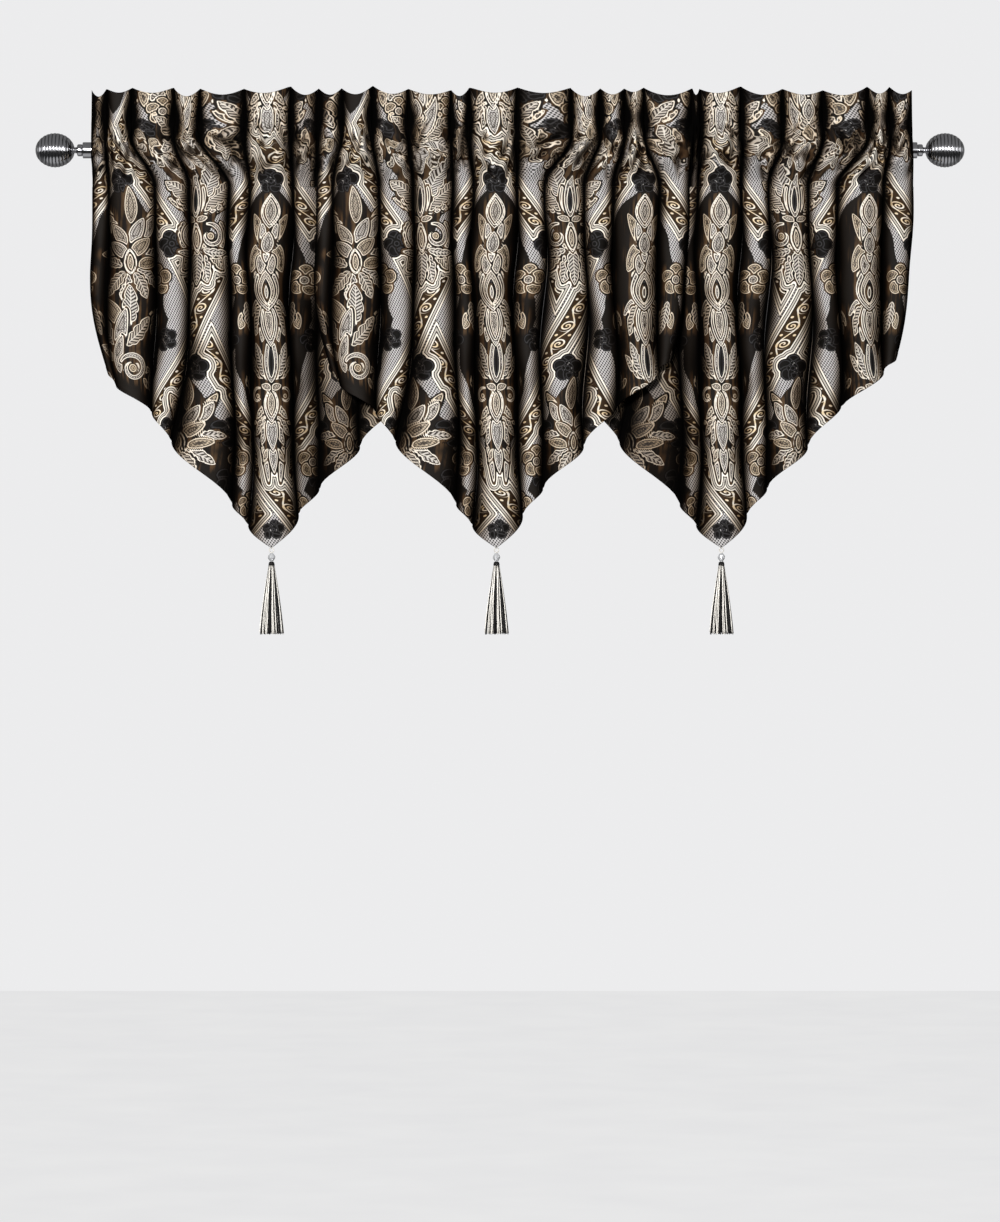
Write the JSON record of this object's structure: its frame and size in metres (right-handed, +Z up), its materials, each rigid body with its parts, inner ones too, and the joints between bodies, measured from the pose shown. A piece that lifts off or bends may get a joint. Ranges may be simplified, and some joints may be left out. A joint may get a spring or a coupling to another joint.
{
  "type": "ascot valance on curtain rod",
  "caption": "Pointed damask ascot panels with tassels under a gathered rod-pocket heading, on a round metal rod with ribbed ball finials.",
  "frame": {"origin": "middle of the rod's axis", "axes": "+X along the rod to the right seen from the front, +Y to the wall, +Z up; the front faces -Y"},
  "size_m": [1.468, 0.0752, 0.8621],
  "materials": {
    "damask": "woven jacquard in black, silver, cream and gold",
    "rod_metal": "polished nickel plate",
    "tassel_yarn": "twisted rayon yarn, ivory and black",
    "bead": "clear faceted acrylic",
    "loop_cord": "fine twisted cord"
  },
  "bodies": {
    "root": {"rod": "rod_metal", "finial_left": "rod_metal", "finial_right": "rod_metal", "heading": "damask", "panel_left": "damask", "panel_middle": "damask", "panel_right": "damask", "tassel_loop_left": "loop_cord", "tassel_loop_middle": "loop_cord", "tassel_loop_right": "loop_cord", "tassel_bead_left": "bead", "tassel_bead_middle": "bead", "tassel_bead_right": "bead", "tassel_left": "tassel_yarn", "tassel_middle": "tassel_yarn", "tassel_right": "tassel_yarn"}
  },
  "joints": []
}
